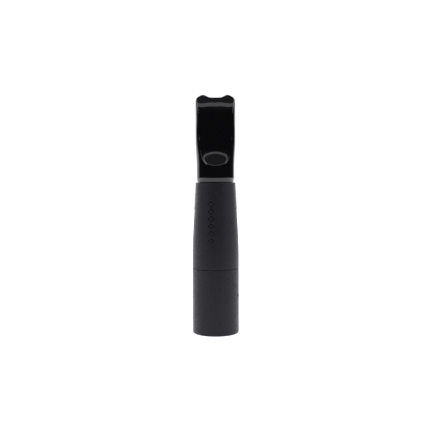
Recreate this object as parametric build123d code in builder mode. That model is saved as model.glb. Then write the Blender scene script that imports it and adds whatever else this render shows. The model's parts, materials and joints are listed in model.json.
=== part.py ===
# Mouthpiece and heater section of a pen vaporizer.
# Millimetres, +Z up, origin at the centre of the bottom face, wide front of the mouthpiece to -Y.
from build123d import *
from math import atan2, degrees, sqrt
import os

os.makedirs("parts", exist_ok=True)

# ---- Overall sizes ----
body_diameter = 14.0      # the straight part, the same as the battery it stands on
mouth_diameter = 11.9     # the narrow top of the sleeve
base_height = 19.6
sleeve_height = 25.6
tip_height = 26.0         # the mouthpiece above its shoulder
seam_gap = 0.12           # the dark line between two neighbouring pieces of the outside

# ---- Clearances ----
running_clearance = 0.08  # a sliding or turning fit, on the radius
seat_clearance = 0.05     # pieces pressed or glued together, on the radius
ring_clearance = 0.03     # an O-ring against its bore and against its groove's floor
rest_gap = 0.05           # two faces that stand on each other

# ---- Base shell ----
base_wall = 0.8
lip_height = 0.8
lip_width = 1.4
base_edge_radius = 0.5
seam_chamfer = 0.12
air_hole_radius = 0.55
air_hole_z = 11.6
air_hole_angle = -18      # round the axis from +X, towards the front

# ---- Connector at the bottom ----
connector_height = 7.0
socket_radius = 4.6
socket_depth = 3.6
battery_magnet_outer = 3.85
battery_magnet_inner = 2.15
battery_magnet_height = 1.5
insulator_radius = 1.7
insulator_flange_radius = 2.05
insulator_flange_height = 0.6
barrel_radius = 1.05
barrel_wall = 0.3
barrel_setback = 0.2      # from the socket's ceiling up to the barrel
plunger_stem_radius = 0.45
plunger_head_height = 0.5
plunger_recess = 0.02
plunger_gap = 0.02
spring_wire_radius = 0.08
spring_turns = 5
spring_end_gap = 0.06

# ---- Heating cartridge ----
air_gap = 0.85            # between the base shell and the chamber
flange_height = 1.8
seal_groove_depth = 0.77
groove_side_play = 0.08   # room each side of an O-ring in its groove
keeper_height = 0.8
keeper_set_down = 0.1     # the keeper ring's top below the seam
collar_height = 5.4       # the chamber's collar above the base
collar_thickness = 1.15
collar_groove_depth = 0.62
collar_ring_pitch = 1.6
collar_ring_offset = 0.9  # first O-ring above the magnet's pocket
ledge_width = 0.5
ledge_height = 4.0        # the dish's ledge above the chamber's bottom
chamber_base_height = 2.5
cartridge_pin_radius = 0.7
pin_insulator_wall = 0.5
pin_flange_width = 0.45
pin_flange_height = 0.2
rivet_radius = 0.3
rivet_proud = 0.15
terminal_thickness = 0.4
terminal_width = 1.0
terminal_overhang = 0.5
port_radius = 0.35        # air ports through the chamber's wall, under the dish
port_count = 4
dish_height = 1.4
dish_hollow = 0.6
dish_rim = 0.7
dish_air_radius = 0.4
dish_air_circle = 3.1
rod_radius = 0.8
rod_spacing = 3.2
rod_lift = 1.4            # the rods' axes above the dish
rod_margin = 0.4          # from the rods' ends to the chamber's wall
coil_wire_radius = 0.15
coil_pitch = 0.55
coil_turns = 6.5          # a half turn over, so the legs leave on opposite sides
coil_gap = 0.02
lead_radius = 0.2
lead_overlap = 0.1
lead_hole_radius = 0.3

# ---- Sleeve ----
sleeve_collar_wall = 1.35
magnet_pocket_wall = 0.5
magnet_pocket_depth = 1.58
sleeve_magnet_height = 1.5
sleeve_magnet_set_up = 0.03
gasket_gap = 0.1
gasket_height = 0.8
gasket_width = 1.0
screen_thickness = 0.3
screen_hole_radius = 0.45
screen_ring_pitch = 1.6
straight_height = 6.5     # the sleeve's straight stretch, up to where its taper starts
taper_blend_radius = 80.0
liner_wall = 0.35
liner_shoulder = 0.15
tip_socket_wall = 1.2
tip_socket_depth = 6.92

# ---- Mouthpiece ----
plug_length = 6.5
plug_chamfer = 0.3
tip_groove_depth = 0.92
tip_ring_low = 1.6        # lower O-ring above the plug's end
tip_ring_pitch = 2.6
shoulder_chamfer_height = 1.1
shoulder_set_in = 0.42
neck_set_in = 0.22        # the neck's radius, less than the sleeve's mouth
flare_start = 4.5
flare_end = 12.5
paddle_width = 12.1
paddle_thickness = 5.8
scoop_start = 5.15
scoop_end = 11.0
scoop_edge_radius = 0.8
lip_curve_height = 7.1
lip_land = 1.15           # half the thickness left at the very top
corner_radius = 3.0
corner_overhang = 0.1
top_dip = 0.85
plug_wall = 0.95          # between the plug's grooves and the steel insert
insert_wall = 0.35
insert_length = 8.1
slot_width = 6.4
slot_thickness = 1.5
channel_straight = 3.0    # round part of the channel above the shoulder
channel_end = 11.5        # where the channel has become the slot

# ---- Radii and heights that follow ----
body_radius = body_diameter / 2
mouth_radius = mouth_diameter / 2
shell_bore = body_radius - base_wall
connector_z = lip_height
socket_top = connector_z + socket_depth
connector_top = connector_z + connector_height

barrel_z = socket_top + barrel_setback
barrel_bore = barrel_radius - barrel_wall
barrel_floor = barrel_z + barrel_wall
barrel_ceiling = connector_top - barrel_wall

cartridge_z = connector_top + rest_gap
keeper_z = base_height - keeper_set_down - keeper_height
flange_z = keeper_z - flange_height
flange_radius = shell_bore - running_clearance
chamber_radius = shell_bore - air_gap
chamber_top = base_height + collar_height
collar_bore = body_radius - sleeve_collar_wall
collar_radius = collar_bore - running_clearance
chamber_bore = collar_radius - collar_thickness
lower_bore = chamber_bore - ledge_width
ledge_z = cartridge_z + ledge_height
floor_z = cartridge_z + chamber_base_height
terminal_z = floor_z + pin_flange_height
terminal_top = terminal_z + terminal_thickness
dish_top = ledge_z + dish_height

coil_radius = rod_radius + coil_gap + coil_wire_radius
coil_length = coil_pitch * coil_turns
rod_z = dish_top + rod_lift
rod_x = rod_spacing / 2
rod_reach = chamber_bore - rod_margin
rod_length = 2 * sqrt(rod_reach ** 2 - (rod_x + rod_radius) ** 2)
inner_lead = Vector(rod_x - coil_radius, -coil_length / 2)
outer_lead = Vector(rod_x + coil_radius, coil_length / 2)

sleeve_z = base_height + seam_gap
sleeve_top = sleeve_z + sleeve_height
pocket_radius = body_radius - magnet_pocket_wall
gasket_z = chamber_top + gasket_gap
screen_z = gasket_z + gasket_height
screen_seat = screen_z + screen_thickness
tip_bore = mouth_radius - tip_socket_wall
tip_socket_z = sleeve_top - tip_socket_depth
liner_bore = tip_bore + liner_shoulder

tip_z = sleeve_top + seam_gap
tip_top = tip_z + tip_height
plug_z = tip_z - plug_length
plug_radius = tip_bore - running_clearance
neck_radius = mouth_radius - neck_set_in

# ---- O-rings: a bore, the floor of the groove under it, and the heights of the rings ----
flange_floor = flange_radius - seal_groove_depth
flange_rings = [flange_z + flange_height / 2]
collar_floor = collar_radius - collar_groove_depth
first_collar_ring = sleeve_z + magnet_pocket_depth + collar_ring_offset
collar_rings = [first_collar_ring, first_collar_ring + collar_ring_pitch]
tip_floor = plug_radius - tip_groove_depth
insert_seat = tip_floor - plug_wall
insert_radius = insert_seat - seat_clearance
insert_bore = insert_radius - insert_wall
tip_rings = [plug_z + tip_ring_low, plug_z + tip_ring_low + tip_ring_pitch]


def ring_section(bore, groove_floor):
    """The radius of an O-ring's section between a bore and a groove's floor."""
    return (bore - groove_floor) / 2 - ring_clearance


def o_rings(bore, groove_floor, heights):
    """Adds one O-ring at each height to the part being made."""
    for height in heights:
        with Locations((0, 0, height)):
            Torus((bore + groove_floor) / 2, ring_section(bore, groove_floor))


def cut_grooves(bore, groove_floor, outside, heights):
    """Cuts the O-rings' grooves into a shaft of the radius outside."""
    width = 2 * (ring_section(bore, groove_floor) + groove_side_play)
    for height in heights:
        with BuildSketch(Plane.XY.offset(height - width / 2)) as groove:
            Circle(outside + 1)
            Circle(groove_floor, mode=Mode.SUBTRACT)
        extrude(groove.sketch, amount=width, mode=Mode.SUBTRACT)


def tube(inner, outer, low, high):
    """Adds a plain tube or ring between two heights to the part being made."""
    with BuildSketch(Plane.XY.offset(low)) as section:
        Circle(outer)
        Circle(inner, mode=Mode.SUBTRACT)
    extrude(section.sketch, amount=high - low)


def save(piece, name):
    """Labels a finished piece and writes it under its own name."""
    piece.part.label = name
    export_step(piece.part, f"parts/{name}.step")


# ---- Base: the shell ----
with BuildPart() as base_shell:
    with BuildSketch(Plane.XZ):
        with BuildLine():
            Polyline(
                (body_radius - lip_width, 0),
                (body_radius, 0),
                (body_radius, base_height),
                (shell_bore, base_height),
                (shell_bore, lip_height),
                (body_radius - lip_width, lip_height),
                close=True,
            )
        make_face()
    revolve(axis=Axis.Z)
    rims = base_shell.edges().filter_by(GeomType.CIRCLE)
    fillet(rims.group_by(Axis.Z)[0].sort_by(SortBy.RADIUS)[-1], base_edge_radius)
    rims = base_shell.edges().filter_by(GeomType.CIRCLE)
    chamfer(rims.group_by(Axis.Z)[-1].sort_by(SortBy.RADIUS)[-1], seam_chamfer)
    with BuildSketch(Plane.YZ.rotated((0, 0, air_hole_angle)).offset(shell_bore - base_wall)):
        with Locations((0, air_hole_z)):
            Circle(air_hole_radius)
    extrude(amount=3 * base_wall, mode=Mode.SUBTRACT)
save(base_shell, "base_shell")

# ---- Base: the socket for the battery, with its ring magnet ----
with BuildPart() as connector_body:
    with BuildSketch(Plane.XY.offset(connector_z)):
        Circle(shell_bore - seat_clearance)
    extrude(amount=connector_height)
    with BuildSketch(Plane.XY.offset(connector_z)):
        Circle(socket_radius)
    extrude(amount=socket_depth, mode=Mode.SUBTRACT)
    with BuildSketch(Plane.XY.offset(socket_top)):
        Circle(battery_magnet_outer + seat_clearance)
    extrude(amount=battery_magnet_height + 2 * seat_clearance, mode=Mode.SUBTRACT)
    with BuildSketch(Plane.XY.offset(socket_top)):
        Circle(insulator_radius + seat_clearance)
    extrude(amount=connector_height, mode=Mode.SUBTRACT)
save(connector_body, "connector_body")

with BuildPart() as battery_magnet:
    magnet_z = socket_top + seat_clearance
    tube(battery_magnet_inner, battery_magnet_outer, magnet_z, magnet_z + battery_magnet_height)
save(battery_magnet, "battery_magnet")

# ---- Base: the sprung contact in the middle of the socket ----
with BuildPart() as contact_insulator:
    bore = barrel_radius + seat_clearance
    tube(bore, insulator_radius, socket_top, connector_top)
    tube(bore, insulator_flange_radius, socket_top, socket_top + insulator_flange_height)
save(contact_insulator, "contact_insulator")

with BuildPart() as contact_barrel:
    with BuildSketch(Plane.XZ):
        with BuildLine():
            Polyline(
                (plunger_stem_radius + seat_clearance, barrel_z),
                (barrel_radius, barrel_z),
                (barrel_radius, connector_top),
                (0, connector_top),
                (0, barrel_ceiling),
                (barrel_bore, barrel_ceiling),
                (barrel_bore, barrel_floor),
                (plunger_stem_radius + seat_clearance, barrel_floor),
                close=True,
            )
        make_face()
    revolve(axis=Axis.Z)
save(contact_barrel, "contact_barrel")

plunger_head_z = barrel_floor + plunger_gap
plunger_head_top = plunger_head_z + plunger_head_height
with BuildPart() as contact_pin:
    with BuildSketch(Plane.XY.offset(socket_top + plunger_recess)):
        Circle(plunger_stem_radius)
    extrude(amount=plunger_head_z - socket_top - plunger_recess)
    with BuildSketch(Plane.XY.offset(plunger_head_z)):
        Circle(barrel_bore - seat_clearance)
    extrude(amount=plunger_head_height)
    fillet(contact_pin.edges().filter_by(GeomType.CIRCLE).sort_by(Axis.Z)[0], plunger_stem_radius / 2)
save(contact_pin, "contact_pin")

spring_z = plunger_head_top + spring_end_gap + spring_wire_radius
spring_height = barrel_ceiling - spring_end_gap - spring_wire_radius - spring_z
spring_radius = barrel_bore - seat_clearance - 2 * spring_wire_radius
spring_coil = Helix(spring_height / spring_turns, spring_height, spring_radius, center=(0, 0, spring_z))
with BuildPart() as contact_spring:
    with BuildSketch(Plane(origin=spring_coil @ 0, z_dir=spring_coil % 0)):
        Circle(spring_wire_radius)
    sweep(path=spring_coil, is_frenet=True)
save(contact_spring, "contact_spring")

# ---- Cartridge: the steel chamber ----
with BuildPart() as chamber:
    with BuildSketch(Plane.XZ):
        with BuildLine():
            Polyline(
                (lower_bore, cartridge_z),
                (chamber_radius, cartridge_z),
                (chamber_radius, flange_z),
                (flange_radius, flange_z),
                (flange_radius, keeper_z),
                (collar_radius, keeper_z),
                (collar_radius, chamber_top),
                (chamber_bore, chamber_top),
                (chamber_bore, ledge_z),
                (lower_bore, ledge_z),
                close=True,
            )
        make_face()
    revolve(axis=Axis.Z)
    cut_grooves(shell_bore, flange_floor, flange_radius, flange_rings)
    cut_grooves(collar_bore, collar_floor, collar_radius, collar_rings)
    port_z = (terminal_top + ledge_z) / 2
    for turn in range(port_count):
        outward = Vector(1, 0, 0).rotate(Axis.Z, 360 / port_count * turn)
        with BuildSketch(Plane(origin=(0, 0, port_z), z_dir=outward).offset(lower_bore - ledge_width)):
            Circle(port_radius)
        extrude(amount=2 * ledge_width + chamber_radius - lower_bore, mode=Mode.SUBTRACT)
save(chamber, "chamber")

with BuildPart() as cartridge_o_ring:
    o_rings(shell_bore, flange_floor, flange_rings)
save(cartridge_o_ring, "cartridge_o_ring")

with BuildPart() as collar_o_rings:
    o_rings(collar_bore, collar_floor, collar_rings)
save(collar_o_rings, "collar_o_rings")

with BuildPart() as keeper_ring:
    tube(collar_radius + seat_clearance, flange_radius, keeper_z, keeper_z + keeper_height)
save(keeper_ring, "keeper_ring")

# ---- Cartridge: its two poles ----
pin_bore = cartridge_pin_radius + seat_clearance
pin_insulator_radius = pin_bore + pin_insulator_wall
with BuildPart() as chamber_base:
    tube(pin_insulator_radius + seat_clearance, lower_bore - seat_clearance, cartridge_z, floor_z)
save(chamber_base, "chamber_base")

with BuildPart() as pin_insulator:
    tube(pin_bore, pin_insulator_radius, cartridge_z, terminal_z)
    tube(pin_bore, pin_insulator_radius + pin_flange_width, floor_z, terminal_z)
save(pin_insulator, "pin_insulator")

with BuildPart() as cartridge_pin:
    with BuildSketch(Plane.XY.offset(cartridge_z)):
        Circle(cartridge_pin_radius)
    extrude(amount=terminal_z - cartridge_z)
    with BuildSketch(Plane.XY.offset(terminal_z)):
        Circle(rivet_radius)
    extrude(amount=terminal_thickness + rivet_proud)
save(cartridge_pin, "cartridge_pin")

terminal_length = 2 * (inner_lead.length + terminal_overhang)
with BuildPart() as positive_terminal:
    with BuildSketch(Plane.XY.offset(terminal_z)):
        SlotOverall(terminal_length, terminal_width, rotation=degrees(atan2(inner_lead.Y, inner_lead.X)))
        Circle(rivet_radius + seat_clearance, mode=Mode.SUBTRACT)
    extrude(amount=terminal_thickness)
save(positive_terminal, "positive_terminal")

# ---- Cartridge: the heater ----
dish_radius = chamber_bore - seat_clearance
with BuildPart() as heat_dish:
    with BuildSketch(Plane.XZ):
        with BuildLine():
            Polyline(
                (0, dish_top - dish_hollow),
                (0, ledge_z),
                (dish_radius, ledge_z),
                (dish_radius, dish_top),
                (dish_radius - dish_rim, dish_top),
            )
            TangentArc((0, dish_top - dish_hollow), (dish_radius - dish_rim, dish_top), tangent=(1, 0))
        make_face()
    revolve(axis=Axis.Z)
    with BuildSketch(Plane.XY.offset(ledge_z)):
        Circle(dish_air_radius)
        with PolarLocations(dish_air_circle, 4):
            Circle(dish_air_radius)
        with Locations(inner_lead, outer_lead, -inner_lead, -outer_lead):
            Circle(lead_hole_radius)
    extrude(amount=dish_height, mode=Mode.SUBTRACT)
save(heat_dish, "heat_dish")

with BuildPart() as heater_rods:
    with BuildSketch(Plane.XZ.offset(-rod_length / 2)):
        with Locations((-rod_x, rod_z), (rod_x, rod_z)):
            Circle(rod_radius)
    extrude(amount=rod_length)
save(heater_rods, "heater_rods")

# The winding starts on the inner side going up, and half a turn over brings it down outside.
rod_axis = Axis((rod_x, 0, rod_z), (0, 1, 0))
coil_start = (rod_x, -coil_length / 2, rod_z)
winding = Helix(coil_pitch, coil_length, coil_radius, center=coil_start, direction=(0, 1, 0))
winding = winding.rotate(rod_axis, -90)
with BuildPart() as heater_coils:
    with BuildSketch(Plane(origin=winding @ 0, z_dir=winding % 0)):
        Circle(coil_wire_radius)
    sweep(path=winding, is_frenet=True)
    for lead, foot in ((inner_lead, terminal_top), (outer_lead, floor_z)):
        with BuildSketch(Plane.XY.offset(foot)):
            with Locations(lead):
                Circle(lead_radius)
        extrude(amount=rod_z + lead_overlap - foot)
    add(heater_coils.part.rotate(Axis.Z, 180))
save(heater_coils, "heater_coils")

# ---- Sleeve ----
with BuildPart() as outer_sleeve:
    with BuildSketch(Plane.XZ):
        with BuildLine():
            FilletPolyline(
                (body_radius, sleeve_z),
                (body_radius, sleeve_z + straight_height),
                (mouth_radius, sleeve_top),
                radius=taper_blend_radius,
            )
            Polyline(
                (mouth_radius, sleeve_top),
                (tip_bore, sleeve_top),
                (tip_bore, tip_socket_z),
                (liner_bore, tip_socket_z),
                (liner_bore, screen_seat),
                (collar_bore, screen_seat),
                (collar_bore, sleeve_z + magnet_pocket_depth),
                (pocket_radius, sleeve_z + magnet_pocket_depth),
                (pocket_radius, sleeve_z),
                (body_radius, sleeve_z),
            )
        make_face()
    revolve(axis=Axis.Z)
    for end in (0, -1):
        rims = outer_sleeve.edges().filter_by(GeomType.CIRCLE).group_by(Axis.Z)[end]
        chamfer(rims.sort_by(SortBy.RADIUS)[-1], seam_chamfer)
save(outer_sleeve, "outer_sleeve")

with BuildPart() as sleeve_magnet:
    ring_z = sleeve_z + sleeve_magnet_set_up
    ring_radius = pocket_radius - seat_clearance
    tube(collar_bore + running_clearance, ring_radius, ring_z, ring_z + sleeve_magnet_height)
save(sleeve_magnet, "sleeve_magnet")

with BuildPart() as chamber_gasket:
    gasket_radius = collar_bore - seat_clearance
    tube(gasket_radius - gasket_width, gasket_radius, gasket_z, screen_z)
save(chamber_gasket, "chamber_gasket")

with BuildPart() as splash_screen:
    with BuildSketch(Plane.XY.offset(screen_z)):
        Circle(collar_bore - seat_clearance)
        Circle(screen_hole_radius, mode=Mode.SUBTRACT)
        for ring in (1, 2):
            with PolarLocations(ring * screen_ring_pitch, 6 * ring):
                Circle(screen_hole_radius, mode=Mode.SUBTRACT)
    extrude(amount=screen_thickness)
save(splash_screen, "splash_screen")

with BuildPart() as sleeve_liner:
    liner_radius = liner_bore - seat_clearance
    tube(liner_radius - liner_wall, liner_radius, screen_seat + rest_gap, tip_socket_z - rest_gap)
save(sleeve_liner, "sleeve_liner")

# ---- Mouthpiece: seals and insert ----
with BuildPart() as tip_o_rings:
    o_rings(tip_bore, tip_floor, tip_rings)
save(tip_o_rings, "tip_o_rings")

with BuildPart() as tip_insert:
    tube(insert_bore, insert_radius, plug_z, plug_z + insert_length)
save(tip_insert, "tip_insert")

# ---- Mouthpiece: the moulded tip ----
paddle_side = paddle_width / 2
paddle_face = paddle_thickness / 2
with BuildPart() as mouthpiece_tip:
    # a round blank, from the shoulder's chamfer over the neck to the flare
    with BuildSketch(Plane.XZ):
        with BuildLine():
            Polyline(
                (0, tip_z),
                (neck_radius - shoulder_set_in, tip_z),
                (neck_radius, tip_z + shoulder_chamfer_height),
                (neck_radius, tip_z + flare_start),
            )
            Spline(
                (neck_radius, tip_z + flare_start),
                (paddle_side, tip_z + flare_end),
                tangents=((0, 1), (0, 1)),
            )
            Polyline((paddle_side, tip_z + flare_end), (paddle_side, tip_top), (0, tip_top), (0, tip_z))
        make_face()
    revolve(axis=Axis.Z)
    # seen from the side: scooped on both faces down to a flat paddle with a curved lip
    with BuildSketch(Plane.YZ):
        with BuildLine():
            Polyline(
                (0, tip_z),
                (body_radius, tip_z),
                (body_radius, tip_z + scoop_start),
                (mouth_radius, tip_z + scoop_start),
            )
            TangentArc(
                (paddle_face, tip_z + scoop_end), (mouth_radius, tip_z + scoop_start), tangent=(0, -1)
            )
            Line((paddle_face, tip_z + scoop_end), (paddle_face, tip_top - lip_curve_height))
            TangentArc((paddle_face, tip_top - lip_curve_height), (lip_land, tip_top), tangent=(0, 1))
            Polyline((lip_land, tip_top), (0, tip_top), (0, tip_z))
        make_face()
        mirror(about=Plane.YZ)
    extrude(amount=body_radius, both=True, mode=Mode.INTERSECT)
    rims = mouthpiece_tip.edges().filter_by_position(Axis.Z, tip_z + scoop_start, tip_top)
    fillet(rims.filter_by(lambda edge: edge.bounding_box().size.Z > seam_gap), scoop_edge_radius)
    # seen from the front: rounded corners and a shallow dip along the top
    with BuildSketch(Plane.XZ):
        with BuildLine():
            side = paddle_side + corner_overhang
            Polyline((0, tip_z), (side, tip_z), (side, tip_top - corner_radius))
            TangentArc((side, tip_top - corner_radius), (side - corner_radius, tip_top), tangent=(0, 1))
            ThreePointArc(
                (side - corner_radius, tip_top), (0, tip_top - top_dip), (corner_radius - side, tip_top)
            )
            TangentArc((-side, tip_top - corner_radius), (corner_radius - side, tip_top), tangent=(0, 1))
            Polyline((-side, tip_top - corner_radius), (-side, tip_z), (0, tip_z))
        make_face()
    extrude(amount=body_radius, both=True, mode=Mode.INTERSECT)
    # the plug that goes into the sleeve, with its two grooves
    with BuildSketch(Plane.XY.offset(plug_z)):
        Circle(plug_radius)
    extrude(amount=plug_length)
    chamfer(mouthpiece_tip.edges().filter_by(GeomType.CIRCLE).sort_by(Axis.Z)[0], plug_chamfer)
    cut_grooves(tip_bore, tip_floor, plug_radius, tip_rings)
    # the seat of the steel insert, and the channel that flattens into the draw slot
    with BuildSketch(Plane.XY.offset(plug_z)):
        Circle(insert_seat)
    extrude(amount=insert_length + rest_gap, mode=Mode.SUBTRACT)
    with BuildSketch(Plane.XY.offset(plug_z)):
        Circle(insert_bore)
    extrude(amount=plug_length + channel_straight, mode=Mode.SUBTRACT)
    with BuildSketch(Plane.XY.offset(tip_z + channel_straight)) as round_end:
        Circle(insert_bore)
    with BuildSketch(Plane.XY.offset(tip_z + channel_end)) as slot_end:
        SlotOverall(slot_width, slot_thickness)
    loft(mode=Mode.SUBTRACT)
    with BuildSketch(Plane.XY.offset(tip_z + channel_end)):
        SlotOverall(slot_width, slot_thickness)
    extrude(amount=tip_height, mode=Mode.SUBTRACT)
save(mouthpiece_tip, "mouthpiece_tip")
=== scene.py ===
import json
import math

import bpy
import numpy as np
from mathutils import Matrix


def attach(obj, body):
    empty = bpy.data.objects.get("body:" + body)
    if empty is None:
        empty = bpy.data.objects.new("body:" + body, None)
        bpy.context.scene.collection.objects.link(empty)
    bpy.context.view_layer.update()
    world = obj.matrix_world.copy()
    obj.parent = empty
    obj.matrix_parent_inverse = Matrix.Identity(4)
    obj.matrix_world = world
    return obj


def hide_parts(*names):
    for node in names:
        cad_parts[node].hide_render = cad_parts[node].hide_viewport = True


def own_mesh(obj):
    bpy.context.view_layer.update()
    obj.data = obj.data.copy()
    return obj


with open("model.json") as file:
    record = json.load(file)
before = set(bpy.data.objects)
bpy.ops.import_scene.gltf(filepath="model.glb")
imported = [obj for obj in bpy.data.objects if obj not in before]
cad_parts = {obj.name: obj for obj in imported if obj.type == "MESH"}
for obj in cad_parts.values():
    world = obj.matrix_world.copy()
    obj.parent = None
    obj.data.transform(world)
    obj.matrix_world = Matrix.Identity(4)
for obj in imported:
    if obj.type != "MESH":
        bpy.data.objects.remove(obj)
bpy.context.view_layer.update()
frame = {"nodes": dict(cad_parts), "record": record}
slotOf = {part["node"]: part["material_slot"] for part in frame["record"]["subparts"]}
print("frame loaded")

mm = 0.001                # the pieces' sizes are written in mm, the stage's in m


def linear(hexColour):
    # sRGB hex to the linear values that the shader sockets take
    parts = [int(hexColour[i:i + 2], 16) / 255 for i in (1, 3, 5)]
    return [c / 12.92 if c <= 0.04045 else ((c + 0.055) / 1.055) ** 2.4 for c in parts] + [1.0]


def addNode(tree, kind, settings=None, inputs=None):
    # one node: settings are its own properties; an input is a constant, or another node's output
    node = tree.nodes.new(kind)
    for key, value in (settings or {}).items():
        setattr(node, key, value)
    for key, value in (inputs or {}).items():
        if isinstance(value, bpy.types.NodeSocket):
            tree.links.new(value, node.inputs[key])
        else:
            node.inputs[key].default_value = value
    return node


def gridMesh(name, points, material, capped=False):
    # points is rows x columns x 3 in mm, and every cell becomes a quad; the last column meets the
    # first, and so does the last row, unless a flat cap closes each end
    rows, columns = points.shape[:2]
    index = np.arange(rows * columns).reshape(rows, columns)
    up, right = np.roll(index, -1, 0), np.roll(index, -1, 1)
    both = np.roll(up, -1, 1)
    quads = np.stack([index, right, both, up], -1)[:rows - capped].reshape(-1, 4)
    caps = np.stack([index[0, ::-1], index[-1]]) if capped else np.empty((0, columns), int)
    corners = np.concatenate([quads.ravel(), caps.ravel()])
    starts = np.concatenate([np.arange(len(quads)) * 4, quads.size + np.arange(len(caps)) * columns])
    mesh = bpy.data.meshes.new(name)
    mesh.vertices.add(rows * columns)
    mesh.vertices.foreach_set("co", (points * mm).astype(np.float32).ravel())
    mesh.loops.add(len(corners))
    mesh.loops.foreach_set("vertex_index", corners.astype(np.int32))
    mesh.polygons.add(len(starts))
    mesh.polygons.foreach_set("loop_start", starts.astype(np.int32))
    mesh.polygons.foreach_set("use_smooth", np.arange(len(starts)) < len(quads))
    mesh.update(calc_edges=True)
    mesh.validate()
    mesh.materials.append(material)
    piece = bpy.data.objects.new(name, mesh)
    bpy.context.scene.collection.objects.link(piece)
    return piece


def softPath(corners, step):
    # corners are (radius, height, rounding); each corner becomes a quadratic curve from one side to
    # the other, and what lies between is cut into equal parts no longer than step
    points = np.array([c[:2] for c in corners], float)
    before, after = np.roll(points, 1, 0) - points, np.roll(points, -1, 0) - points
    path = []
    for corner, back, ahead, rounding in zip(points, before, after, [c[2] for c in corners]):
        start = corner + back / np.hypot(*back) * rounding
        end = corner + ahead / np.hypot(*ahead) * rounding
        t = np.linspace(0, 1, 7)[:, None]
        path.append((1 - t) ** 2 * start + 2 * t * (1 - t) * corner + t ** 2 * end)
    whole = np.vstack(path + [path[0][:1]])
    lengths = np.hypot(*np.diff(whole, axis=0).T)
    pieces = [np.linspace(a, b, max(1, math.ceil(d / step)), endpoint=False)
              for a, b, d in zip(whole[:-1], whole[1:], lengths)]
    return np.vstack(pieces)


def turned(path, columns):
    # a closed path of (radius, height) swept round the common axis
    angle = np.linspace(0, 2 * math.pi, columns, endpoint=False)
    radius, height = path[:, :1], path[:, 1:]
    return polar(radius, angle, height)


def polar(radius, angle, height):
    # the point at radius and angle round the common axis: (r cos a, r sin a, height)
    flat = 0 * angle + 0 * radius
    return np.stack([radius * np.cos(angle), radius * np.sin(angle), height + flat], -1)


def smooth(a, b, x):
    # 0 up to a, 1 past b, and 3t^2 - 2t^3 between them
    t = np.clip((x - a) / (b - a), 0, 1)
    return t * t * (3 - 2 * t)


def bend(a, b, c, count):
    # a quadratic curve from a to c, pulled to b
    t = np.linspace(0, 1, count)[:, None, None]
    return (1 - t) ** 2 * a + 2 * t * (1 - t) * b + t ** 2 * c


# what each finish is and what it gives the eye; grain is the size of its texture in mm, or lines the
# pitch in mm of the lathe's marks; depth is how far they stand out in mm, and spread how much they
# vary the roughness
finishes = {
    # soft-touch polyurethane lacquer sprayed on aluminium: a deep, faintly cool grey with a broad, dull
    # highlight and a velvety edge; its matting keeps the specular low, and the real grain of about
    # 0.1 mm is drawn 0.5 mm wide so that it shows
    "soft_touch_coat": dict(colour="#151519", roughness=0.5, ior=1.48, specular=0.25, sheen=0.25,
                            grain=0.5, depth=0.06, spread=0.45),
    # black acrylic moulded in a polished tool: a mirror gloss over pure black, only faintly wavy
    "gloss_black": dict(colour="#050506", roughness=0.035, ior=1.5, grain=6.0, depth=0.002, spread=0.01),
    # bright nickel plated on turned brass: a warm white mirror with fine rings
    "nickel_plate": dict(colour="#cfc8ba", metallic=1.0, roughness=0.16, lines=0.06, depth=0.0006,
                         spread=0.05),
    # nickel plated on sintered magnet: neutral and a little pitted
    "magnet_nickel": dict(colour="#c4c4c2", metallic=1.0, roughness=0.24, grain=0.12, depth=0.001,
                          spread=0.08),
    # natural PEEK turned from rod: an opaque tan with a dull tool-marked face
    "peek_natural": dict(colour="#b9a57d", roughness=0.42, ior=1.6, lines=0.08, depth=0.0012, spread=0.06),
    # thin gold plated on brass: bright yellow, smoother than what is under it
    "gold_plate": dict(colour="#ebc074", metallic=1.0, roughness=0.2, lines=0.05, depth=0.0004,
                       spread=0.05),
    # hard-drawn spring wire: grey steel with a drawn, satin skin
    "spring_steel": dict(colour="#b9b8b5", metallic=1.0, roughness=0.3, grain=0.05, depth=0.0004,
                         spread=0.1),
    # translucent silicone moulded in a flashless tool: milky, with a soft shine
    "silicone_clear": dict(colour="#d4d3cc", roughness=0.38, ior=1.41, grain=0.3, depth=0.002,
                           spread=0.06, transmission=0.35),
    # black silicone moulded in a flashless tool: a flat black with a wide highlight
    "silicone_black": dict(colour="#161616", roughness=0.5, ior=1.41, grain=0.2, depth=0.002,
                           spread=0.08),
    # stainless steel, fine turned: a cool grey with rings that spread the highlight
    "stainless_turned": dict(colour="#c3c2c2", metallic=1.0, roughness=0.25, lines=0.07, depth=0.001,
                             spread=0.08),
    # soft iron turned and zinc plated: a bluish grey, duller than the stainless
    "keeper_steel": dict(colour="#a9abae", metallic=1.0, roughness=0.33, lines=0.08, depth=0.001,
                         spread=0.1),
    # brass turned from rod: a golden yellow with tool rings
    "brass": dict(colour="#d8b56f", metallic=1.0, roughness=0.24, lines=0.08, depth=0.001, spread=0.08),
    # alumina pressed and fired: a chalky off-white with no clear highlight
    "alumina": dict(colour="#ebe9e1", roughness=0.6, ior=1.76, grain=0.1, depth=0.002, spread=0.08),
    # fused quartz, fire polished: water-clear and sharply glossy
    "quartz": dict(colour="#f4f6f6", roughness=0.03, ior=1.46, grain=1.0, depth=0.001, spread=0.02,
                   transmission=1.0),
    # resistance wire, drawn and darkened by heat: a brownish, half-dull grey
    "resistance_wire": dict(colour="#8f8a86", metallic=1.0, roughness=0.4, grain=0.06, depth=0.0006,
                            spread=0.12),
}
# the same lacquer with a print on it
finishes["soft_touch_printed"] = dict(finishes["soft_touch_coat"], printed=True)
sheenRoughness = 0.4
noise = dict(detail=3.0, roughness=0.6, low=0.3, high=0.7)    # low and high hold nearly all its values

# the print: a plain column of outlined diamonds up the sleeve's front, in gloss black
mark = dict(colour="#08080a", roughness=0.22, x=-1.3, low=27.2, step=2.15, count=6, reach=0.95, line=0.3)


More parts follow.
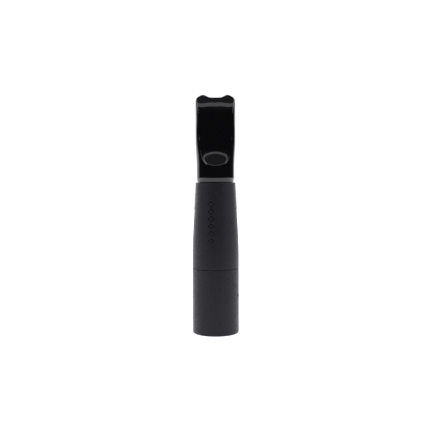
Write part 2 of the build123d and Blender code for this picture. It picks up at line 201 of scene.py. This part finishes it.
def printed(tree, spot):
    # 1 on the lines and 0 beside them: |x| plus the height from the nearest diamond's middle is within
    # a line's width of the reach, between the column's ends and on the front only
    sums = "ShaderNodeMath"
    part = addNode(tree, "ShaderNodeSeparateXYZ", {}, {0: spot})
    half, tall = mark["line"] / 2, mark["step"] * mark["count"] / 2
    fromMiddle = addNode(tree, sums, {"operation": "SUBTRACT"}, {0: part.outputs["X"], 1: mark["x"] * mm})
    across = addNode(tree, sums, {"operation": "ABSOLUTE"}, {0: fromMiddle.outputs[0]})
    fromLow = addNode(tree, sums, {"operation": "SUBTRACT"}, {0: part.outputs["Z"], 1: mark["low"] * mm})
    folded = addNode(tree, sums, {"operation": "PINGPONG"}, {
        0: fromLow.outputs[0], 1: mark["step"] / 2 * mm})
    along = addNode(tree, sums, {"operation": "SUBTRACT"}, {
        0: mark["step"] / 2 * mm, 1: folded.outputs[0]})
    total = addNode(tree, sums, {"operation": "ADD"}, {0: across.outputs[0], 1: along.outputs[0]})
    band = addNode(tree, sums, {"operation": "COMPARE"}, {
        0: total.outputs[0], 1: (mark["reach"] - half) * mm, 2: half * mm})
    inside = addNode(tree, sums, {"operation": "COMPARE"}, {
        0: part.outputs["Z"], 1: (mark["low"] + tall) * mm, 2: tall * mm})
    front = addNode(tree, sums, {"operation": "LESS_THAN"}, {0: part.outputs["Y"], 1: 0.0})
    both = addNode(tree, sums, {"operation": "MULTIPLY"}, {0: band.outputs[0], 1: inside.outputs[0]})
    ink = addNode(tree, sums, {"operation": "MULTIPLY"}, {0: both.outputs[0], 1: front.outputs[0]})
    return ink.outputs[0]


def makeFinish(name, spec):
    material = bpy.data.materials.new(name)
    material.use_nodes = True
    tree = material.node_tree
    surface = next(node for node in tree.nodes if node.type == "BSDF_PRINCIPLED")
    spot = addNode(tree, "ShaderNodeTexCoord").outputs["Object"]
    if "lines" in spec:
        # lathe marks: the pattern depends only on the distance from the axis and on the height
        flat = addNode(tree, "ShaderNodeVectorMath", {"operation": "MULTIPLY"}, {0: spot, 1: (1, 1, 0)})
        reach = addNode(tree, "ShaderNodeVectorMath", {"operation": "LENGTH"}, {0: flat.outputs[0]})
        height = addNode(tree, "ShaderNodeSeparateXYZ", {}, {0: spot})
        spot = addNode(tree, "ShaderNodeCombineXYZ", {}, {
            "X": reach.outputs["Value"], "Z": height.outputs["Z"]}).outputs[0]
    size = spec["lines"] if "lines" in spec else spec["grain"]
    grain = addNode(tree, "ShaderNodeTexNoise", {}, {
        "Vector": spot, "Scale": 1 / (size * mm), "Detail": noise["detail"],
        "Roughness": noise["roughness"]}).outputs[0]
    gloss = addNode(tree, "ShaderNodeMapRange", {}, {
        "Value": grain, "From Min": noise["low"], "From Max": noise["high"],
        "To Min": max(0.01, spec["roughness"] - spec["spread"] / 2),
        "To Max": spec["roughness"] + spec["spread"] / 2}).outputs[0]
    relief = addNode(tree, "ShaderNodeBump", {}, {
        "Height": grain, "Strength": 1.0, "Distance": spec["depth"] * mm})
    surface.inputs["Base Color"].default_value = linear(spec["colour"])
    if spec.get("printed"):
        ink = printed(tree, spot)
        gloss = addNode(tree, "ShaderNodeMix", {}, {0: ink, 2: gloss, 3: mark["roughness"]}).outputs[0]
        paint = addNode(tree, "ShaderNodeMix", {"data_type": "RGBA"}, {
            0: ink, 6: linear(spec["colour"]), 7: linear(mark["colour"])})
        tree.links.new(paint.outputs[2], surface.inputs["Base Color"])
    surface.inputs["Metallic"].default_value = spec.get("metallic", 0.0)
    if "ior" in spec:
        surface.inputs["IOR"].default_value = spec["ior"]
    surface.inputs["Specular IOR Level"].default_value = spec.get("specular", 0.5)
    surface.inputs["Sheen Weight"].default_value = spec.get("sheen", 0.0)
    surface.inputs["Sheen Roughness"].default_value = sheenRoughness
    surface.inputs["Transmission Weight"].default_value = spec.get("transmission", 0.0)
    tree.links.new(gloss, surface.inputs["Roughness"])
    tree.links.new(relief.outputs[0], surface.inputs["Normal"])
    return material


materials = {name: makeFinish(name, spec) for name, spec in finishes.items()}
for node, shape in frame["nodes"].items():
    shape.data.materials.clear()
    shape.data.materials.append(materials[slotOf[node]])
print("finishes made:", len(materials))

# the mouthpiece, moulded in one: a plug with two seal grooves, a shoulder, a round neck that becomes a
# scooped paddle, and a draw slot; heights from neckTop on are measured over the shoulder
tip = dict(
    bottom=38.94, shoulder=45.4, top=71.44,
    plug=4.67, plugEdge=0.3, grooveFloor=3.75, grooveWidth=1.1, grooves=(40.54, 43.14),
    seat=2.8, seatTop=47.09, bore=2.4,                     # radii of the bores for the insert and the draw
    rim=(5.36, 5.45), rimRise=0.12, neck=5.73, chamfer=1.35,    # a rounded lower rim, a long chamfer
    softness=0.08, neckTop=2.0,
    side=6.05, flare=(4.5, 12.5),                          # the neck widens to the paddle between these
    face=2.9, scoop=(5.15, 11.0), scoopReach=5.95,         # half the paddle's thickness; the scoop's arc
    underSlope=1.4,                                        # how fast the neck fills out under the scoop
    cup=(0.3, 1.1), cupRise=(3.5, 9.5),                    # how much the scoop is hollowed sideways
    cupFade=0.7, cupEnd=(10, 15),
    sharpness=(14, 8, 16), softer=(7, 12), sharper=(15, 19),    # of the edges between face and side
    lipStart=18.9, lipEdge=1.15, lipBase=19.0,
    lipShift=0.6, lipShiftPower=3,                         # the lip starts lower towards the sides
    corner=3.0, overhang=0.1, dip=0.85, dipWalls=(1.4, 3.8),    # the outline's round corners and dip
    slot=(3.2, 0.75), channel=(3.0, 11.5), edge=0.3,
    columns=248, girthAt=15.0,
    step=0.45, bodyRows=96, lipRows=32, edgeRows=9, landRows=12, mouthRows=7, slotRows=14, channelRows=24,
)


def arcDepth(run, depth, along):
    # how far an arc has left its tangent: r - sqrt(r^2 - along^2), where r takes it to depth at run
    radius = (run ** 2 + depth ** 2) / (2 * depth)
    return radius - np.sqrt(radius ** 2 - along ** 2)


def paddleHalf(angle, height):
    # half the thickness at a height over the shoulder: the face, plus the scoop's arc and a slope
    # under it, less the lip's arc
    rise, reach = tip["scoop"][1] - tip["scoop"][0], tip["scoopReach"] - tip["face"]
    scoop = arcDepth(rise, reach, np.clip(tip["scoop"][1] - height, 0, rise))
    under = np.clip(tip["scoop"][0] - height, 0, None) * tip["underSlope"]
    fall, width = tip["top"] - tip["shoulder"] - tip["lipStart"], tip["face"] - tip["lipEdge"]
    lower = tip["lipShift"] * np.abs(np.cos(angle)) ** tip["lipShiftPower"]
    lip = arcDepth(fall, width, np.clip(height + lower - tip["lipStart"], 0, fall + tip["lipShift"]))
    return tip["face"] + scoop + under - lip


def outerRadius(angle, height):
    # distance from the axis: a round blank and a slab met by a soft minimum, 1/r^p = 1/a^p + 1/b^p
    side = tip["neck"] + (tip["side"] - tip["neck"]) * smooth(*tip["flare"], height)
    cup = tip["cup"][0] + tip["cup"][1] * smooth(*tip["cupRise"], height)
    cup = cup * (1 - tip["cupFade"] * smooth(*tip["cupEnd"], height)) * np.cos(angle) ** 2
    slab = (paddleHalf(angle, height) + cup) / np.maximum(np.abs(np.sin(angle)), 1e-3)
    first, middle, last = tip["sharpness"]
    power = (first + (middle - first) * smooth(*tip["softer"], height)
             + (last - middle) * smooth(*tip["sharper"], height))
    return (side ** -power + slab ** -power) ** (-1 / power)


def topHeight(x):
    # the outline's upper edge: a quarter circle at each corner, and a dip between them
    past = np.clip(np.abs(x) - (tip["side"] + tip["overhang"] - tip["corner"]), 0, tip["corner"])
    drop = tip["corner"] - np.sqrt(tip["corner"] ** 2 - past ** 2)
    return tip["top"] - drop - tip["dip"] * (1 - smooth(*tip["dipWalls"], np.abs(x)))


def slotRadius(angle):
    # a stadium: flat sides, or the round end where the direction meets it first
    long, half = tip["slot"]
    c, s = np.abs(np.cos(angle)), np.abs(np.sin(angle))
    flat = half / np.maximum(s, 1e-6)
    centre = long - half
    end = centre * c + np.sqrt(np.maximum(half ** 2 - (centre * s) ** 2, 0))
    return np.where(flat * c <= centre, flat, end)


def tipAngles():
    # the columns' directions, spread half by the paddle's girth and half by angle
    dense = np.linspace(0, 2 * math.pi, 4001)
    line = polar(outerRadius(dense, tip["girthAt"]), dense, 0.0)
    run = np.concatenate([[0], np.cumsum(np.linalg.norm(np.diff(line, axis=0), axis=1))])
    even = np.linspace(0, 1, tip["columns"], endpoint=False)
    # the mean of the angle at even steps of girth and the even angle, 2 pi even
    return 0.5 * np.interp(even * run[-1], run, dense) + math.pi * even


def plugProfile():
    # the turned part's closed path: up the plug and its grooves, out over the shoulder, up the neck,
    # across, and down the bore and the insert's seat
    shoulder, neckTop = tip["shoulder"], tip["shoulder"] + tip["neckTop"]
    corners = [(tip["seat"], tip["bottom"]), (tip["plug"] - tip["plugEdge"], tip["bottom"]),
               (tip["plug"], tip["bottom"] + tip["plugEdge"])]
    for middle in tip["grooves"]:
        low, high = middle - tip["grooveWidth"] / 2, middle + tip["grooveWidth"] / 2
        corners += [(tip["plug"], low), (tip["grooveFloor"], low), (tip["grooveFloor"], high),
                    (tip["plug"], high)]
    corners += [(tip["plug"], shoulder), (tip["rim"][0], shoulder),
                (tip["rim"][1], shoulder + tip["rimRise"]), (tip["neck"], shoulder + tip["chamfer"]),
                (tip["neck"], neckTop), (tip["bore"], neckTop), (tip["bore"], tip["seatTop"]),
                (tip["seat"], tip["seatTop"])]
    return softPath([(r, z, tip["softness"]) for r, z in corners], tip["step"])


def tipPoints():
    # rows of the whole skin in order: the turned part, the paddle, the lip, its rim, the land round
    # the slot, down the slot, the channel that rounds out, and the bore back to the start
    shoulder, edge, angle = tip["shoulder"], tip["edge"], tipAngles()
    path = plugProfile()
    last = int(np.argmax((path[:, 0] > tip["neck"] - 0.01) & (path[:, 1] > shoulder + tip["neckTop"] - 0.1)))
    first = int(np.argmax((path[:, 0] < tip["bore"] + 0.02)
                          & (path[:, 1] < shoulder + tip["neckTop"] - 0.05)))
    lower = polar(path[:last, :1], angle, path[:last, 1:])
    inner = polar(path[first:, :1], angle, path[first:, 1:])
    heights = np.linspace(tip["neckTop"], tip["lipBase"], tip["bodyRows"], endpoint=False)[:, None]
    body = polar(outerRadius(angle, heights), angle, shoulder + heights)
    # the edge where the outline's top cuts the faces: z = top(x), found by repeating x = r(z) cos(angle)
    edgeHeight = np.full_like(angle, tip["top"] - shoulder)
    for _ in range(6):
        edgeHeight = topHeight(outerRadius(angle, edgeHeight) * np.cos(angle)) - shoulder
    share = np.linspace(0, 1, tip["lipRows"], endpoint=False)[:, None]
    heights = tip["lipBase"] + share * (edgeHeight - edge - tip["lipBase"])
    lip = polar(outerRadius(angle, heights), angle, shoulder + heights)
    rim = polar(outerRadius(angle, edgeHeight), angle, shoulder + edgeHeight)
    under = polar(outerRadius(angle, edgeHeight - edge), angle, shoulder + edgeHeight - edge)
    mouth = polar(slotRadius(angle), angle, 0.0)
    mouth[:, 2] = topHeight(mouth[:, 0])
    span = mouth - rim
    inward = span / np.linalg.norm(span, axis=1, keepdims=True)
    rimIn, mouthOut = rim + inward * edge, mouth - inward * edge
    rimIn[:, 2], mouthOut[:, 2] = topHeight(rimIn[:, 0]), topHeight(mouthOut[:, 0])
    share = np.linspace(0, 1, tip["landRows"], endpoint=False)[1:, None, None]
    land = rimIn + share * (mouthOut - rimIn)
    land[..., 2] = topHeight(land[..., 0])
    drop = mouth - [0, 0, edge]
    low, high = tip["channel"]
    share = np.linspace(0, 1, tip["slotRows"], endpoint=False)[1:, None]
    slot = polar(slotRadius(angle) + 0 * share, angle,
                 drop[:, 2] + share * (shoulder + high - drop[:, 2]))
    share = np.linspace(0, 1, tip["channelRows"])[:, None]
    rounding = smooth(0, 1, share)
    channel = polar(slotRadius(angle) * (1 - rounding) + tip["bore"] * rounding, angle,
                    shoulder + high + share * (low - high))
    return np.concatenate([
        lower, body, lip, bend(under, rim, rimIn, tip["edgeRows"]), land,
        bend(mouthOut, mouth, drop, tip["mouthRows"]), slot, channel, inner])


mouthpiece = gridMesh("mouthpiece", tipPoints(), materials["gloss_black"])
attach(mouthpiece, "tip")
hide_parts("mouthpiece_tip")
print("mouthpiece made")

# the sleeve: straight at the bottom, tapered above, with bores for the mouthpiece's plug, the liner,
# the chamber's collar and the ring magnet
sleeve = dict(
    bottom=19.72, taper=26.22, top=45.36, radius=7.0, topRadius=5.95, taperSoftness=4.4, chamfer=0.12,
    tipBore=4.75, tipDepth=38.4, linerBore=4.9, linerDepth=26.2, collarBore=5.65,
    pocket=6.5, pocketTop=21.3, softness=(0.05, 0.1), step=0.6, columns=240,
)
fine, soft = sleeve["softness"]
sleevePath = softPath([
    (sleeve["pocket"], sleeve["bottom"], fine),
    (sleeve["radius"], sleeve["bottom"], sleeve["chamfer"]),
    (sleeve["radius"], sleeve["taper"], sleeve["taperSoftness"]),
    (sleeve["topRadius"], sleeve["top"], sleeve["chamfer"]),
    (sleeve["tipBore"], sleeve["top"], soft),
    (sleeve["tipBore"], sleeve["tipDepth"], fine),
    (sleeve["linerBore"], sleeve["tipDepth"], fine),
    (sleeve["linerBore"], sleeve["linerDepth"], fine),
    (sleeve["collarBore"], sleeve["linerDepth"], soft),
    (sleeve["collarBore"], sleeve["pocketTop"], soft),
    (sleeve["pocket"], sleeve["pocketTop"], fine),
], sleeve["step"])
outerSleeve = gridMesh("sleeve", turned(sleevePath, sleeve["columns"]), materials["soft_touch_printed"])
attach(outerSleeve, "sleeve")
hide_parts("outer_sleeve")
print("sleeve made")

# the sprung contact's coil: a helix of round wire between fixed heights
coil = dict(
    low=5.56, high=7.36, radius=0.54, wire=0.08, turns=5,
    ceiling=7.44, underside=5.48, press=0.45, rings=200, columns=12,
)


def coilPoints():
    # a helix carries a circle: helix point + wire * (cos(b) * outward + sin(b) * across)
    share = np.linspace(0, 1, coil["rings"])[:, None]
    about = np.linspace(0, 2 * math.pi, coil["columns"], endpoint=False)[None, :, None]
    turn = 2 * math.pi * coil["turns"] * share
    radius, height = coil["radius"], coil["high"] - coil["low"]
    outward = np.stack([np.cos(turn), np.sin(turn), 0 * turn], -1)
    rise = height / (2 * math.pi * coil["turns"])
    tangent = np.stack([-radius * np.sin(turn), radius * np.cos(turn), rise + 0 * turn], -1)
    tangent /= np.linalg.norm(tangent, axis=-1, keepdims=True)
    across = np.cross(tangent, outward)
    centre = radius * outward + [0, 0, 1] * (coil["low"] + height * share)[..., None]
    return centre + coil["wire"] * (np.cos(about) * outward + np.sin(about) * across)


contactCoil = gridMesh("contact_coil", coilPoints(), materials["spring_steel"], capped=True)
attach(contactCoil, "base")
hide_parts("contact_spring")
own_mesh(contactCoil)
print("coil made")

# the table: a white acrylic sheet lit from below, so that it is as pale as the backdrop
table = dict(x=(-0.7, 0.7), y=(-0.125, 0.9), colour="#f4f4f2", roughness=0.6, glow="#f8f8ff", strength=1.08)
(left, right), (front, back) = table["x"], table["y"]
tableMesh = bpy.data.meshes.new("table")
tableMesh.from_pydata([(left, front, 0), (right, front, 0), (right, back, 0), (left, back, 0)], [],
                      [(0, 1, 2, 3)])
tableTop = bpy.data.objects.new("table", tableMesh)
bpy.context.scene.collection.objects.link(tableTop)
litAcrylic = bpy.data.materials.new("lit_acrylic")
litAcrylic.use_nodes = True
skin = next(node for node in litAcrylic.node_tree.nodes if node.type == "BSDF_PRINCIPLED")
skin.inputs["Base Color"].default_value = linear(table["colour"])
skin.inputs["Roughness"].default_value = table["roughness"]
skin.inputs["Emission Color"].default_value = linear(table["glow"])
skin.inputs["Emission Strength"].default_value = table["strength"]
tableMesh.materials.append(litAcrylic)

# the room that the gloss mirrors: a light backdrop behind, dark in front, a dim ceiling; what the
# camera itself sees past the object is plain white
room = dict(
    lean=-0.16,                                     # the backdrop reaches further round on the left
    backdrop=(0.5, 0.64), brightness=(0.5, 1.0, 0.7, 2.3), backdropTop=(0.85, 0.6),
    ceiling=(0.3, 0.75, 0.05, 0.22), colour="#f9f9ff", plain=("#ffffff", 1.02),
)
soften = {"interpolation_type": "SMOOTHSTEP"}
world = bpy.data.worlds.new("studio")
bpy.context.scene.world = world
world.use_nodes = True
tree = world.node_tree
tree.nodes.clear()
toward = addNode(tree, "ShaderNodeSeparateXYZ", {}, {
    0: addNode(tree, "ShaderNodeTexCoord").outputs["Generated"]})
lean = addNode(tree, "ShaderNodeMath", {"operation": "MULTIPLY_ADD"}, {
    0: toward.outputs["X"], 1: room["lean"], 2: toward.outputs["Y"]})
behind = addNode(tree, "ShaderNodeMapRange", soften, {
    "Value": lean.outputs[0], "From Min": room["backdrop"][0], "From Max": room["backdrop"][1]})
under = addNode(tree, "ShaderNodeMapRange", soften, {
    "Value": toward.outputs["Z"], "From Min": room["backdropTop"][0], "From Max": room["backdropTop"][1]})
glow = addNode(tree, "ShaderNodeMapRange", {}, {"Value": lean.outputs[0], **dict(zip(
    ("From Min", "From Max", "To Min", "To Max"), room["brightness"]))})
ceiling = addNode(tree, "ShaderNodeMapRange", soften, {"Value": toward.outputs["Z"], **dict(zip(
    ("From Min", "From Max", "To Min", "To Max"), room["ceiling"]))})
reach = addNode(tree, "ShaderNodeMath", {"operation": "MULTIPLY"}, {
    0: behind.outputs[0], 1: under.outputs[0]})
backdrop = addNode(tree, "ShaderNodeMath", {"operation": "MULTIPLY"}, {
    0: reach.outputs[0], 1: glow.outputs[0]})
level = addNode(tree, "ShaderNodeMath", {"operation": "ADD"}, {
    0: backdrop.outputs[0], 1: ceiling.outputs[0]})
mirrored = addNode(tree, "ShaderNodeBackground", {}, {
    "Color": linear(room["colour"]), "Strength": level.outputs[0]})
plain = addNode(tree, "ShaderNodeBackground", {}, {
    "Color": linear(room["plain"][0]), "Strength": room["plain"][1]})
seen = addNode(tree, "ShaderNodeLightPath")
choice = addNode(tree, "ShaderNodeMixShader", {}, {
    0: seen.outputs["Is Camera Ray"], 1: mirrored.outputs[0], 2: plain.outputs[0]})
addNode(tree, "ShaderNodeOutputWorld", {}, {"Surface": choice.outputs[0]})

# long strip boxes, one over the camera and one at each side: place in m, tilt and turn in degrees,
# size in m, energy in W
boxes = dict(
    front=dict(place=(0, -0.32, 0.305), tilt=53, turn=0, size=(0.9, 0.064), energy=0.26),
    left=dict(place=(-0.36, -0.1, 0.26), tilt=60, turn=-75, size=(0.5, 0.2), energy=0.68),
    right=dict(place=(0.36, -0.06, 0.26), tilt=60, turn=80, size=(0.5, 0.2), energy=0.85),
)
boxColour = "#f6f5ff"
for name, box in boxes.items():
    lightData = bpy.data.lights.new("box_" + name, "AREA")
    lightData.shape = "RECTANGLE"
    lightData.size, lightData.size_y = box["size"]
    lightData.energy = box["energy"]
    lightData.color = linear(boxColour)[:3]
    light = bpy.data.objects.new("box_" + name, lightData)
    light.location = box["place"]
    light.rotation_euler = (math.radians(box["tilt"]), 0, math.radians(box["turn"]))
    bpy.context.scene.collection.objects.link(light)
print("stage made")

# the camera stands straight in front and looks a little down: place in m, angles in degrees
view = dict(place=(-0.00015, -0.215, 0.046), down=2.77, roll=0.16, lens=59.85, sensor=36)
cameraData = bpy.data.cameras.new("camera")
cameraData.sensor_width = view["sensor"]
cameraData.lens = view["lens"]
camera = bpy.data.objects.new("camera", cameraData)
camera.location = view["place"]
camera.rotation_euler = (math.radians(90 - view["down"]), math.radians(view["roll"]), 0)
bpy.context.scene.collection.objects.link(camera)
bpy.context.scene.camera = camera
bpy.context.scene.view_settings.view_transform = "Standard"
print("camera placed")
